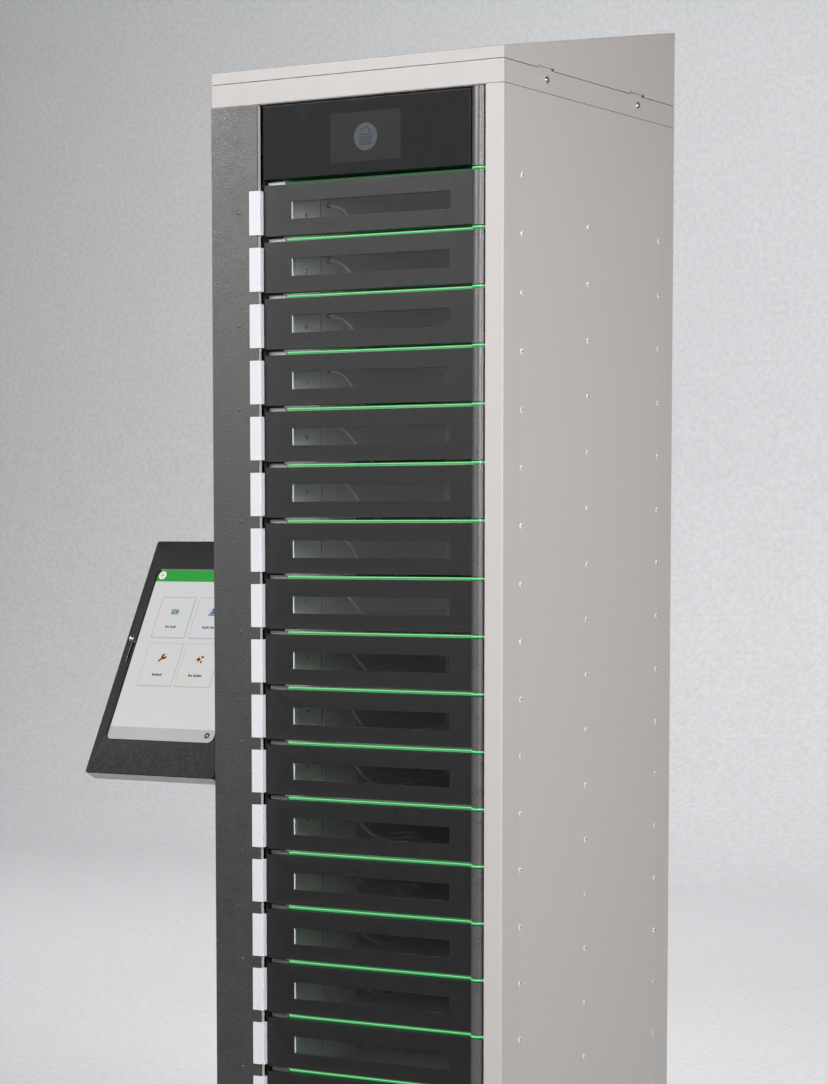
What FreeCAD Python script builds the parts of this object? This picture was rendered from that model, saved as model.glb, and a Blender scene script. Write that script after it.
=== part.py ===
import FreeCAD, Part
import math
import os

from FreeCAD import Vector

# Charging locker tower: twenty small bays behind hinged doors, a hinged control panel, a sloping
# hood and a tilting tablet terminal on the left side.
#
# Millimetres. X runs to the right along the front and Z up from the floor. The design is drawn with
# y measured back from the front face, and save() moves it so that the origin lies on the floor at
# the centre of the anchor holes.

X_AXIS = Vector(1, 0, 0)
Y_AXIS = Vector(0, 1, 0)
Z_AXIS = Vector(0, 0, 1)

# Cabinet
WIDTH = 410.0
DEPTH = 448.0
SIDE = WIDTH / 2
SKIN = 1.5
INNER = SIDE - SKIN
SEAM = 0.8
CLEAR = 0.3
CORNER_R = 2.0
FLOOR_Z = 80.0
BAYS = 20
PITCH = 68.0
LOWEST_LINE = 118.0
TOP_LINE = LOWEST_LINE + BAYS * PITCH
BODY_TOP = TOP_LINE + 94.0
BAND_TOP = BODY_TOP + 27.5
HOOD_FRONT_TOP = BAND_TOP + 15.0
HOOD_BACK_TOP = BAND_TOP + 93.5

# Front, from left to right
COLUMN_RIGHT = -137.3
COVER_T = 1.5
STILE_FRONT = 1.6
STILE_DEPTH = 7.1
JAMB_FRONT = 11.2
JAMB_LEFT = -137.0
LABEL_LEFT = -149.0
LABEL_RIGHT = -133.4
LABEL_DEPTH = 7.6
LABEL_T = 0.7
JAMB_BACK = 28.0
BAY_WALL = -118.0
STILE_LEFT = 180.5
STILE_RETURN = 25.0
RAIL_DEPTH = 38.0

# Doors: heights are measured up from the light line below each door
DOOR_LEFT = -132.3
DOOR_RIGHT = 158.0
DOOR_FACE = 6.0
DOOR_BACK = 24.0
DOOR_LOW = 4.4
DOOR_HIGH = 65.3
PANEL_HIGH = 92.0
PANEL_BARREL_HIGH = 93.4
DOOR_WALL = 2.5
BARREL_LOW = 2.6
BARREL_HIGH = 65.4
WINDOW_LEFT = -91.5
WINDOW_RIGHT = 130.0
WINDOW_LOW = 23.7
WINDOW_HIGH = 44.5
PANE_T = 2.0
PANE_LAP = 5.0
HINGE_X = 169.2
HINGE_Y = 11.5
BARREL_R = 10.9
ROD_R = 2.0
RUNNING = 0.08
ROD_HOLE_R = ROD_R + 0.05

# Control panel
GLASS_T = 3.0
GLASS_RIGHT = 157.2
DISPLAY_X = (-28.5, 68.0)
DISPLAY_Z = (16.5, 77.5)
DISPLAY_T = 7.0

# Locks
BOLT_R = 4.0
BOLT_HOLE_R = 4.6
BOLT_Y = 18.0
BOLT_TIP = -132.8
BOLT_LENGTH = 27.0
LOCK_LENGTH = 60.0
LOCK_HALF = 11.0
LOCK_FRONT = 11.5
LOCK_BACK = 35.0
DOOR_BOLT_Z = 33.0
PANEL_BOLT_Z = 46.0
KEEPER_T = 2.0
KEEPER_HALF = 8.0

# Shelves, light guides and hinge brackets, measured from the light line
SHEET = 1.2
SHELF_TOP = -1.1
SHELF_LOW = SHELF_TOP - SHEET
SHELF_FRONT = 17.5
SHELF_BACK = 416.0
SHELF_STEP = 64.0
FLANGE_TOP = 20.0
LEFT_FLANGE_Y = 190.0
LIP_LEFT = -130.6
LIP_RIGHT = -106.0
LIP_LOW = -2.3
LIP_HIGH = 2.0
GUIDE_HALF = 1.1
GUIDE_FRONT = 14.5
GUIDE_BACK = 27.0
GUIDE_LEFT = -104.0
TONGUE_R = 10.7
EAR_R = 4.6
BRACKET_BACK = 60.0
BRACKET_LOW = -13.0

# Blind rivets on the right side
RIVET_R = 2.0
RIVET_HEAD_R = 4.0
RIVET_HEAD_H = 1.3
SHELF_RIVETS_Y = (211.4, 405.0)
SHELF_RIVET_Z = 15.5
HINGE_RIVET_Y = 44.8
HINGE_RIVET_Z = -6.4

# Crown and hood
TAB_Y = (102.5, 341.3)
TAB_HALF = 16.0
TAB_DROP = 22.0
NOTCH = 2.2
RELIEF_R = 1.8
HOOD_SCREW_Z = BAND_TOP - 11.8
M5_R = 2.5
M5_HEAD_R = 4.6
M5_HEAD_H = 2.6
CROWN_SCREW_X = 196.0
CROWN_SCREW_Y = (80.0, 224.0, 368.0)

# Rear
REAR_Y = 445.0
REAR_SCREW_X = 195.0
REAR_SCREWS = 6
WALL_HOLE_X = 160.0
WALL_HOLE_Z = BODY_TOP - 30.0
WALL_HOLE_R = 4.5
FAN_Z = TOP_LINE + 45.0
FAN_SIZE = 80.0
FAN_T = 25.0
FAN_BORE_R = 37.0
ROTOR_R = 36.0
HUB_R = 16.0
BLADES = 7
SHAFT_R = 1.5
INLET_X = 120.0
INLET_Z = 104.0

# Base
PLINTH_X = 190.0
PLINTH_FRONT = 24.0
PLINTH_BACK = DEPTH - PLINTH_FRONT
PLINTH_WALL = 3.0
ANCHOR_X = 150.0
ANCHOR_Y = 170.0
ANCHOR_R = 6.0
M8_R = 4.0
PLINTH_BOLT_X = 178.0
PLINTH_BOLT_Y = (60.0, 224.0, 388.0)

# Electronics
MODULE_Y = (62.0, 140.0)
MODULE_Z = (22.0, 60.0)
MODULE_T = 24.0
GLAND_Y = 128.0
GLAND_Z = 53.0
GLAND_R = 3.9
GLAND_FACE = -115.5
CABLE_START = GLAND_FACE + CLEAR
WALL_SCREW_Y = 77.0
WALL_SCREW_Z = 36.0
SLOT_Y = (111.0, 115.0)
SLOT_Z = (6.0, 60.0)
STUD_X = -165.0
STUD_HEAD_R = 2.6
STUD_HEAD_H = 0.5
M3_R = 1.5
M3_HEAD_R = 3.3
M3_HEAD_H = 1.6

# Charging cables: each route lies in a bay, with z measured from the bay's light line
CABLE_R = 1.75
REST = SHELF_TOP + CABLE_R + 0.1
PLUG_LENGTH = 20.0
PLUG_WIDTH = 11.0
PLUG_T = 6.4
PLUG_Z = SHELF_TOP + PLUG_T / 2 + 0.1
CABLE_ROUTES = (
    (
        (CABLE_START, GLAND_Y, GLAND_Z), (-101, 128.5, 51.5), (-91, 138, 41), (-87, 153, 25),
        (-84, 173, 10), (-80, 200, REST), (-74, 234, REST), (-71, 264, REST), (-80, 291, REST),
        (-99, 298, REST), (-110, 279, REST), (-108, 252, REST + 0.3), (-100, 226, PLUG_Z),
    ),
    (
        (CABLE_START, GLAND_Y, GLAND_Z), (-101, 129, 51), (-94, 141, 39), (-93, 158, 21),
        (-96, 180, 6.5), (-101, 208, REST), (-104, 240, REST), (-101, 266, REST),
        (-90, 284, REST), (-72, 280, REST), (-65.5, 258, REST + 0.3), (-67, 228, PLUG_Z),
    ),
    (
        (CABLE_START, GLAND_Y, GLAND_Z), (-100.5, 128.5, 51), (-90, 137, 38.5), (-85.5, 152, 22),
        (-82, 173, 7.5), (-77.5, 200, REST), (-75, 236, REST), (-80, 274, REST),
        (-94, 306, REST), (-97, 342, REST + 0.3), (-88, 374, PLUG_Z),
    ),
)

# Tablet terminal: drawn upright with its front at y = 0, then leaned back and set in place
CASE_W = 202.0
CASE_H = 339.0
CASE_T = 24.0
CASE_WALL = 3.0
BEZEL_T = 4.0
CASE_LEAN = 28.8
CASE_X = -424.0
CASE_Y = 20.0
CASE_Z = 748.0
SCREEN_X = (14.5, 184.0)
SCREEN_Z = (49.0, 297.0)
SCREEN_R = 9.0
TABLET_X = (12.0, 190.0)
TABLET_Z = (40.0, 306.0)
TABLET_T = 8.0
DOME_X = 6.5
DOME_Z = 194.5
DOME_R = 4.0
NOTCH_X = 9.0
NOTCH_Z = (159.0, 190.0)
LUG_X = (67.0, 125.0)
LUG_W = 10.0
LUG_R = 12.0
PIVOT_Y = CASE_T + 16.0
PIVOT_Z = CASE_H / 2
SPINDLE_R = 4.0
BOSS_R = 12.0
BOSS_END = -285.0
ARM_PLATE = 50.0
ARM_T = 3.0
ARM_SCREW = 36.0
M6_R = 3.0


def line(bay):
    """Height of the light line below a bay's door; line(0) lies above the first door."""
    return TOP_LINE - bay * PITCH


def box(x0, x1, y0, y1, z0, z1):
    return Part.makeBox(x1 - x0, y1 - y0, z1 - z0, Vector(x0, y0, z0))


def rod(x, y, z, axis, radius, length):
    return Part.makeCylinder(radius, length, Vector(x, y, z), axis)


def fused(shapes):
    return shapes[0].multiFuse(list(shapes[1:])).removeSplitter()


def group(shapes):
    """Several separate solids in one node."""
    return Part.makeCompound(list(shapes))


def prism(points, z0, z1):
    """Upright prism over a closed outline of (x, y) points."""
    wire = Part.makePolygon([Vector(x, y, z0) for x, y in [*points, points[0]]])
    return Part.Face(wire).extrude(Vector(0, 0, z1 - z0))


def rounded(shape, radius, wanted):
    """Rounds the straight edges that wanted(middle, direction) picks."""
    edges = []
    for edge in shape.Edges:
        if len(edge.Vertexes) == 2:
            start = edge.Vertexes[0].Point
            end = edge.Vertexes[1].Point
            if wanted((start + end) / 2, (end - start).normalize()):
                edges.append(edge)
    return shape.makeFillet(radius, edges)


def round_upright(shape, radius, corners):
    """Rounds the upright edges that stand at the given (x, y) corners."""
    def wanted(middle, direction):
        near = [c for c in corners if math.hypot(middle.x - c[0], middle.y - c[1]) < 0.01]
        return abs(direction.z) > 0.9 and bool(near)
    return rounded(shape, radius, wanted)


def screw(x, y, z, axis, radius, head_r, head_h, length):
    """Button-head screw: the head stands on the point and the shank runs along the axis."""
    point = Vector(x, y, z)
    shank = Part.makeCylinder(radius, length, point, axis)
    head = Part.makeCylinder(head_r, head_h, point, axis * -1)
    rim = [e for e in head.Edges if len(e.Vertexes) == 1 and (e.Vertexes[0].Point - point).dot(axis) < -0.1]
    head = head.makeFillet(head_h * 0.6, rim)
    socket = Part.makeCylinder(head_r * 0.4, head_h * 0.6, point - axis * head_h, axis)
    return shank.fuse(head).removeSplitter().cut(socket)


def nut(x, y, z, axis, radius):
    """Hex nut that stands on the point, bored to the thread's size."""
    height = radius * 1.6
    side = radius * 1.95
    corners = [Vector(side * math.cos(math.radians(60 * i)), side * math.sin(math.radians(60 * i)), 0)
               for i in range(7)]
    blank = Part.Face(Part.makePolygon(corners)).extrude(Vector(0, 0, height))
    body = blank.cut(Part.makeCylinder(radius, height))
    body.Placement = FreeCAD.Placement(Vector(x, y, z), FreeCAD.Rotation(Z_AXIS, axis))
    return body


def save(name, shape):
    shape = shape.copy()
    shape.translate(Vector(0, -DEPTH / 2, 0))
    if not shape.isValid():
        print("invalid", name)
    shape.exportStep(f"parts/{name}.step")


# Cabinet shell


def right_rivets():
    """Places (y, z): one row holds the hinge brackets and two rows hold the shelves."""
    hinges = [(HINGE_RIVET_Y, line(n) + HINGE_RIVET_Z) for n in range(BAYS + 1)]
    shelves = [(y, line(n) + SHELF_RIVET_Z) for n in range(1, BAYS + 1) for y in SHELF_RIVETS_Y]
    return hinges + shelves


def rivet_holes():
    return group([rod(INNER - SHEET, y, z, X_AXIS, RIVET_R, SKIN + SHEET) for y, z in right_rivets()])


def panel_rivets():
    rivets = []
    for y, z in right_rivets():
        shank = rod(INNER - SHEET, y, z, X_AXIS, RIVET_R, SKIN + SHEET)
        head = Part.makeCone(
            RIVET_HEAD_R, RIVET_HEAD_R * 0.6, RIVET_HEAD_H, Vector(SIDE, y, z), X_AXIS
        )
        bulb = rod(INNER - 2 * SHEET, y, z, X_AXIS, RIVET_R * 1.5, SHEET)
        hollow = rod(SIDE + RIVET_HEAD_H - 0.9, y, z, X_AXIS, 1.1, 1)
        rivets.append(fused([shank, head, bulb]).cut(hollow))
    return group(rivets)


def arm_screw_places():
    y, z = pivot()
    return [(y + i, z + j) for i in (-ARM_SCREW, ARM_SCREW) for j in (-ARM_SCREW, ARM_SCREW)]


def rear_screw_places():
    step = (BODY_TOP - FLOOR_Z - 80) / (REAR_SCREWS - 1)
    return [(side * REAR_SCREW_X, FLOOR_Z + 40 + i * step) for i in range(REAR_SCREWS) for side in (-1, 1)]


def rear_screw_holes():
    return [rod(x, REAR_Y - 1, z, Y_AXIS, M5_R, 5) for x, z in rear_screw_places()]


def crown_screw_places():
    return [(side * CROWN_SCREW_X, y) for side in (-1, 1) for y in CROWN_SCREW_Y]


def crown_screw_holes():
    return [rod(x, y, BODY_TOP - 4, Z_AXIS, M5_R, 8) for x, y in crown_screw_places()]


def side_panel_right():
    """Folded skin with its front stile and rear flange, and the bar welded inside along the top."""
    outline = [
        (STILE_LEFT, 0), (SIDE, 0), (SIDE, DEPTH), (SIDE - 20, DEPTH), (SIDE - 20, DEPTH - SKIN),
        (INNER, DEPTH - SKIN), (INNER, SKIN), (STILE_LEFT + SKIN, SKIN),
        (STILE_LEFT + SKIN, STILE_RETURN), (STILE_LEFT, STILE_RETURN),
    ]
    skin = prism(outline, FLOOR_Z, BODY_TOP)
    skin = round_upright(skin, CORNER_R, [(SIDE, 0), (SIDE, DEPTH)])
    skin = round_upright(skin, SKIN * 0.8, [(STILE_LEFT, 0)])
    flange = box(INNER - 14, INNER, 30, 430, BODY_TOP - SKIN, BODY_TOP)
    holes = group([rivet_holes(), *rear_screw_holes(), *crown_screw_holes()])
    return group([skin.cut(holes), flange.cut(holes)])


def side_panel_left():
    behind = STILE_FRONT + SKIN
    outline = [
        (-SIDE, STILE_FRONT), (COLUMN_RIGHT, STILE_FRONT), (COLUMN_RIGHT, STILE_DEPTH),
        (COLUMN_RIGHT - SKIN, STILE_DEPTH), (COLUMN_RIGHT - SKIN, behind), (-INNER, behind),
        (-INNER, DEPTH - SKIN), (-SIDE + 20, DEPTH - SKIN), (-SIDE + 20, DEPTH), (-SIDE, DEPTH),
    ]
    skin = round_upright(prism(outline, FLOOR_Z, BODY_TOP), CORNER_R, [(-SIDE, DEPTH)])
    flange = box(-INNER, -INNER + 14, 30, 430, BODY_TOP - SKIN, BODY_TOP)
    arm = [rod(-SIDE - 1, y, z, X_AXIS, M6_R, 4) for y, z in arm_screw_places()]
    cover = [rod(STUD_X, 0, z, Y_AXIS, M3_R, 8) for z in stud_heights()]
    holes = group([*arm, *cover, *rear_screw_holes(), *crown_screw_holes()])
    return group([skin.cut(holes), flange.cut(holes)])


def crown_band():
    low = BODY_TOP + SEAM
    ring = box(-SIDE, SIDE, 0, DEPTH, low, BAND_TOP)
    ring = round_upright(ring, CORNER_R, [(x, y) for x in (-SIDE, SIDE) for y in (0, DEPTH)])
    ring = ring.cut(box(-INNER, INNER, SKIN, DEPTH - SKIN, low, BAND_TOP))
    roof = box(-INNER, INNER, SKIN, DEPTH - SKIN, BODY_TOP, BODY_TOP + SKIN)
    tab_holes = [rod(-SIDE - 1, y, HOOD_SCREW_Z, X_AXIS, M5_R, WIDTH + 2) for y in TAB_Y]
    rod_hole = rod(HINGE_X, HINGE_Y, BODY_TOP - 1, Z_AXIS, ROD_HOLE_R, 4)
    return fused([ring, roof]).cut(group([*tab_holes, rod_hole, *crown_screw_holes()]))


def wedge(inset, low):
    """The hood's outer form, drawn in by inset at every wall and under the roof."""
    slope = (HOOD_BACK_TOP - HOOD_FRONT_TOP) / DEPTH
    drop = inset * math.hypot(1, slope)
    side = SIDE - inset
    front = inset
    back = DEPTH - inset
    outline = [
        Vector(-side, front, low), Vector(-side, back, low),
        Vector(-side, back, HOOD_FRONT_TOP + slope * back - drop),
        Vector(-side, front, HOOD_FRONT_TOP + slope * front - drop),
        Vector(-side, front, low),
    ]
    return Part.Face(Part.makePolygon(outline)).extrude(Vector(2 * side, 0, 0))


def hood():
    low = BAND_TOP + SEAM
    outer = rounded(wedge(0, low), CORNER_R, lambda middle, direction: middle.z > low + 0.1)
    shell = outer.cut(wedge(SKIN, low - 1))
    added = []
    removed = []
    for y in TAB_Y:
        for side in (-1, 1):
            face = side * (INNER - 0.1)
            back = side * (INNER - 0.1 - SKIN)
            edge = side * SIDE
            added.append(box(min(face, back), max(face, back), y - TAB_HALF, y + TAB_HALF,
                             BAND_TOP - TAB_DROP, low + NOTCH + SKIN))
            added.append(box(min(edge, back), max(edge, back), y - TAB_HALF, y + TAB_HALF,
                             low + NOTCH, low + NOTCH + SKIN))
            boss = rod(back, y, HOOD_SCREW_Z, X_AXIS * -side, M5_R + 2, 4)
            added.append(boss)
            removed.append(rod(side * (SIDE + 1), y, HOOD_SCREW_Z, X_AXIS * -side, M5_R, 12))
            skin = (min(edge, face), max(edge, face))
            removed.append(box(*skin, y - TAB_HALF - RELIEF_R, y + TAB_HALF + RELIEF_R, low, low + NOTCH))
            for end in (y - TAB_HALF - RELIEF_R, y + TAB_HALF + RELIEF_R):
                removed.append(rod(side * (SIDE + 1), end, low + RELIEF_R, X_AXIS * -side, RELIEF_R, 3))
    return fused([shell, *added]).cut(group(removed))


def m5_screws():
    """Screws of the hood, the rear panel and the crown."""
    screws = []
    for y in TAB_Y:
        for side in (-1, 1):
            screws.append(screw(side * SIDE, y, HOOD_SCREW_Z, X_AXIS * -side, M5_R, M5_HEAD_R, M5_HEAD_H, 9))
    for x, z in rear_screw_places():
        screws.append(screw(x, DEPTH, z, Y_AXIS * -1, M5_R, M5_HEAD_R, M5_HEAD_H, 8))
    for x, y in crown_screw_places():
        screws.append(screw(x, y, BODY_TOP + SKIN, Z_AXIS * -1, M5_R, M5_HEAD_R, M5_HEAD_H, 8))
    return group(screws)


def rear_panel():
    sheet = box(-INNER + 0.2, INNER - 0.2, REAR_Y, REAR_Y + SKIN, FLOOR_Z + 2, BODY_TOP - 2)
    holes = rear_screw_holes()
    for x in (-WALL_HOLE_X, WALL_HOLE_X):
        holes.append(rod(x, REAR_Y - 1, WALL_HOLE_Z, Y_AXIS, WALL_HOLE_R, 4))
    holes.append(box(*inlet_body(), REAR_Y - 1, REAR_Y + 4, INLET_Z - 10, INLET_Z + 10))
    for i in range(-4, 5):
        reach = math.sqrt(FAN_BORE_R ** 2 - (8 * i) ** 2) - 3
        holes.append(box(8 * i - 2, 8 * i + 2, REAR_Y - 1, REAR_Y + 4, FAN_Z - reach, FAN_Z + reach))
    for row in range(8):
        for x in (-185.0, -150.0):
            holes.append(box(x, x + 25, REAR_Y - 1, REAR_Y + 4, 160 + 12 * row, 164 + 12 * row))
    return sheet.cut(group(holes))


# Lock column


def stud_heights():
    upper = [line(n) - PITCH / 2 for n in (0, 2)]
    return upper + [line(n) for n in range(4, BAYS + 1, 2)]


def column_cover():
    """Flat plate on the left stile, with its weld studs: a low dome outside and a thread behind."""
    plate = box(-SIDE, COLUMN_RIGHT, 0, COVER_T, FLOOR_Z, BODY_TOP - 0.5)
    plate = rounded(plate, 0.6, lambda middle, direction: middle.y < 0.01)
    studs = []
    for z in stud_heights():
        dome = Part.makeCone(STUD_HEAD_R, STUD_HEAD_R * 0.6, STUD_HEAD_H, Vector(STUD_X, 0, z), Y_AXIS * -1)
        studs += [dome, rod(STUD_X, 0, z, Y_AXIS, M3_R, 7)]
    return fused([plate, *studs])


def number_labels():
    """One tag to a bay, hooked round the edge of the column."""
    labels = []
    for n in range(1, BAYS + 1):
        low = line(n) + 6.3
        high = line(n) + 59.1
        outline = [
            (LABEL_LEFT, -LABEL_T), (LABEL_RIGHT, -LABEL_T), (LABEL_RIGHT, LABEL_DEPTH),
            (COLUMN_RIGHT, LABEL_DEPTH), (COLUMN_RIGHT, 0), (LABEL_LEFT, 0),
        ]
        labels.append(round_upright(prism(outline, low, high), 1.5, [(LABEL_RIGHT, -LABEL_T)]))
    return group(labels)


def bolt_heights():
    return [line(0) + PANEL_BOLT_Z] + [line(n) + DOOR_BOLT_Z for n in range(1, BAYS + 1)]


def lock_bodies():
    bodies = []
    for z in bolt_heights():
        body = box(JAMB_LEFT - LOCK_LENGTH, JAMB_LEFT, LOCK_FRONT, LOCK_BACK, z - LOCK_HALF, z + LOCK_HALF)
        bore = rod(BOLT_TIP - BOLT_LENGTH - 1, BOLT_Y, z, X_AXIS, BOLT_R + RUNNING, BOLT_LENGTH + 2)
        bodies.append(body.cut(bore))
    return group(bodies)


def lock_bolts():
    """Bolts drawn back, as they are while a bay is free."""
    bolts = []
    for z in bolt_heights():
        bolt = rod(BOLT_TIP - BOLT_LENGTH, BOLT_Y, z, X_AXIS, BOLT_R, BOLT_LENGTH)
        tip = [e for e in bolt.Edges if abs(e.BoundBox.XMax - BOLT_TIP) < 0.01 and e.BoundBox.XLength < 0.01]
        bolts.append(bolt.makeChamfer(0.8, tip))
    return group(bolts)


# Bays


def bay_wall():
    step = BAY_WALL - SKIN
    outline = [
        (JAMB_LEFT, JAMB_FRONT), (JAMB_LEFT + SKIN, JAMB_FRONT),
        (JAMB_LEFT + SKIN, JAMB_BACK), (BAY_WALL, JAMB_BACK), (BAY_WALL, SHELF_BACK),
        (step, SHELF_BACK), (step, JAMB_BACK + SKIN), (JAMB_LEFT, JAMB_BACK + SKIN),
    ]
    holes = [rod(JAMB_LEFT - 1, BOLT_Y, z, X_AXIS, BOLT_HOLE_R, 4) for z in bolt_heights()]
    for n in range(1, BAYS + 1):
        z = line(n)
        holes.append(rod(step - 1, GLAND_Y, z + GLAND_Z, X_AXIS, GLAND_R, 4))
        holes.append(rod(step - 1, WALL_SCREW_Y, z + WALL_SCREW_Z, X_AXIS, M3_R, 4))
        holes.append(box(step - 1, BAY_WALL + 1, *SLOT_Y, z + SLOT_Z[0], z + SLOT_Z[1]))
    return prism(outline, FLOOR_Z + 3, BODY_TOP - 2).cut(group(holes))


def bay_back_wall():
    wall = box(BAY_WALL - SKIN, INNER - 0.2, SHELF_BACK, SHELF_BACK + SKIN, FLOOR_Z + 3, BODY_TOP - 2)
    return wall.cut(rod(0, SHELF_BACK - 1, FAN_Z, Y_AXIS, FAN_BORE_R, 4))


def shelf(n):
    z = line(n)
    edge = INNER - SHEET - 0.4
    outline = [
        (LIP_LEFT, GUIDE_FRONT), (LIP_RIGHT, GUIDE_FRONT), (LIP_RIGHT, SHELF_FRONT),
        (DOOR_RIGHT - 1, SHELF_FRONT), (DOOR_RIGHT - 1, GUIDE_BACK + 0.4), (edge, GUIDE_BACK + 0.4),
        (edge, SHELF_STEP), (INNER, SHELF_STEP), (INNER, SHELF_BACK), (BAY_WALL, SHELF_BACK),
        (BAY_WALL, JAMB_BACK - 0.2), (LIP_LEFT, JAMB_BACK - 0.2),
    ]
    tray = prism(outline, z + SHELF_LOW, z + SHELF_TOP)
    lip = box(LIP_LEFT, LIP_RIGHT, GUIDE_FRONT, GUIDE_FRONT + SHEET, z + LIP_LOW, z + LIP_HIGH)
    if n == 0:
        return fused([tray, lip])
    right = box(INNER - SHEET, INNER, SHELF_STEP, SHELF_BACK, z + SHELF_LOW, z + FLANGE_TOP)
    left = box(BAY_WALL, BAY_WALL + SHEET, LEFT_FLANGE_Y, SHELF_BACK, z + SHELF_LOW, z + FLANGE_TOP)
    return fused([tray, lip, right, left])


def bay_shelves():
    return group([shelf(n) for n in range(BAYS + 1)]).cut(rivet_holes())


def light_guides():
    guides = []
    for n in range(BAYS + 1):
        low = line(n) - GUIDE_HALF
        high = line(n) + GUIDE_HALF
        bar = box(GUIDE_LEFT, HINGE_X, GUIDE_FRONT, GUIDE_BACK, low, high)
        neck = box(HINGE_X - TONGUE_R, HINGE_X + TONGUE_R, HINGE_Y, GUIDE_BACK, low, high)
        nose = rod(HINGE_X, HINGE_Y, low, Z_AXIS, TONGUE_R, 2 * GUIDE_HALF)
        hole = rod(HINGE_X, HINGE_Y, low, Z_AXIS, ROD_HOLE_R, 2 * GUIDE_HALF)
        guides.append(fused([bar, neck, nose]).cut(hole))
    return group(guides)


def hinge_brackets():
    brackets = []
    for n in range(BAYS + 1):
        low = line(n) + GUIDE_HALF
        high = low + SHEET
        ear = rod(HINGE_X, HINGE_Y, low, Z_AXIS, EAR_R, SHEET)
        neck = box(HINGE_X - EAR_R, HINGE_X + EAR_R, HINGE_Y, BRACKET_BACK, low, high)
        arm = box(HINGE_X - EAR_R, INNER, GUIDE_BACK, BRACKET_BACK, low, high)
        flange = box(INNER - SHEET, INNER, 30, BRACKET_BACK, line(n) + BRACKET_LOW, high)
        hole = rod(HINGE_X, HINGE_Y, low, Z_AXIS, ROD_HOLE_R, SHEET)
        brackets.append(fused([ear, neck, arm, flange]).cut(hole))
    return group(brackets).cut(rivet_holes())


def hinge_rod():
    low = LOWEST_LINE - 5
    return rod(HINGE_X, HINGE_Y, low, Z_AXIS, ROD_R, BODY_TOP + 6 - low)


def hinged_frame(z, face, high, barrel_high, bolt_z):
    """Shallow frame with its hinge barrel: a front plate and four walls behind it."""
    low = z + DOOR_LOW
    top = z + high
    block = box(DOOR_LEFT, DOOR_RIGHT, face, DOOR_BACK, low, top)
    block = round_upright(block, 1.5, [(DOOR_LEFT, face)])
    inside = box(DOOR_LEFT + DOOR_WALL, DOOR_RIGHT - DOOR_WALL, face + DOOR_WALL, DOOR_BACK,
                 low + DOOR_WALL, top - DOOR_WALL)
    web = box(DOOR_RIGHT - DOOR_WALL, HINGE_X, face, face + DOOR_WALL, low, top)
    barrel = rod(HINGE_X, HINGE_Y, z + BARREL_LOW, Z_AXIS, BARREL_R, barrel_high - BARREL_LOW)
    bore = rod(HINGE_X, HINGE_Y, z, Z_AXIS, ROD_R + RUNNING, high + 10)
    bolt = rod(DOOR_LEFT - 1, BOLT_Y, z + bolt_z, X_AXIS, BOLT_HOLE_R, 5)
    return fused([block.cut(inside), web, barrel]).cut(group([bore, bolt]))


def door(n):
    """Frame, window pane and lock keeper, as three solids."""
    z = line(n)
    opening = box(WINDOW_LEFT, WINDOW_RIGHT, 0, DOOR_BACK, z + WINDOW_LOW, z + WINDOW_HIGH)
    frame = hinged_frame(z, DOOR_FACE, DOOR_HIGH, BARREL_HIGH, DOOR_BOLT_Z).cut(opening)
    behind = DOOR_FACE + DOOR_WALL
    pane = box(WINDOW_LEFT - PANE_LAP, WINDOW_RIGHT + PANE_LAP, behind, behind + PANE_T,
               z + WINDOW_LOW - PANE_LAP, z + WINDOW_HIGH + PANE_LAP)
    inner = DOOR_LEFT + DOOR_WALL
    bolt_z = z + DOOR_BOLT_Z
    keeper = box(inner, inner + KEEPER_T, behind + 1, DOOR_BACK, bolt_z - KEEPER_HALF, bolt_z + KEEPER_HALF)
    keeper = keeper.cut(rod(inner - 1, BOLT_Y, bolt_z, X_AXIS, BOLT_HOLE_R, 5))
    return group([frame, pane, keeper])


# Control panel


def panel_carrier():
    z = line(0)
    face = DOOR_FACE + GLASS_T
    carrier = hinged_frame(z, face, PANEL_HIGH, PANEL_BARREL_HIGH, PANEL_BOLT_Z)
    return carrier.cut(box(*DISPLAY_X, face - 1, face + DOOR_WALL + 1, z + DISPLAY_Z[0], z + DISPLAY_Z[1]))


def panel_glass():
    z = line(0)
    sheet = box(DOOR_LEFT, GLASS_RIGHT, DOOR_FACE, DOOR_FACE + GLASS_T, z + DOOR_LOW, z + PANEL_HIGH)
    return rounded(sheet, 0.5, lambda middle, direction: middle.y < DOOR_FACE + 0.01)


def touch_display():
    z = line(0)
    face = DOOR_FACE + GLASS_T
    low = z + DISPLAY_Z[0]
    high = z + DISPLAY_Z[1]
    cell = box(*DISPLAY_X, face, face + DISPLAY_T, low, high)
    back = face + DISPLAY_T
    socket = box(DISPLAY_X[0] + 20, DISPLAY_X[0] + 50, back, back + 4, low + 5, low + 12)
    return fused([cell, socket])


# Electronics


def usb_modules():
    modules = []
    back = BAY_WALL - SKIN
    for n in range(1, BAYS + 1):
        z = line(n)
        body = box(back - MODULE_T, back, *MODULE_Y, z + MODULE_Z[0], z + MODULE_Z[1])
        body = rounded(body, 2, lambda middle, direction: middle.x < back - MODULE_T + 0.01)
        gland = rod(back, GLAND_Y, z + GLAND_Z, X_AXIS, GLAND_R, GLAND_FACE - back)
        hole = rod(back - 12, WALL_SCREW_Y, z + WALL_SCREW_Z, X_AXIS, M3_R, 14)
        modules.append(body.fuse(gland).cut(hole))
    return group(modules)


def module_screws():
    return group([screw(BAY_WALL, WALL_SCREW_Y, line(n) + WALL_SCREW_Z, X_AXIS * -1, M3_R, M3_HEAD_R,
                        M3_HEAD_H, 12) for n in range(1, BAYS + 1)])


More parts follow.
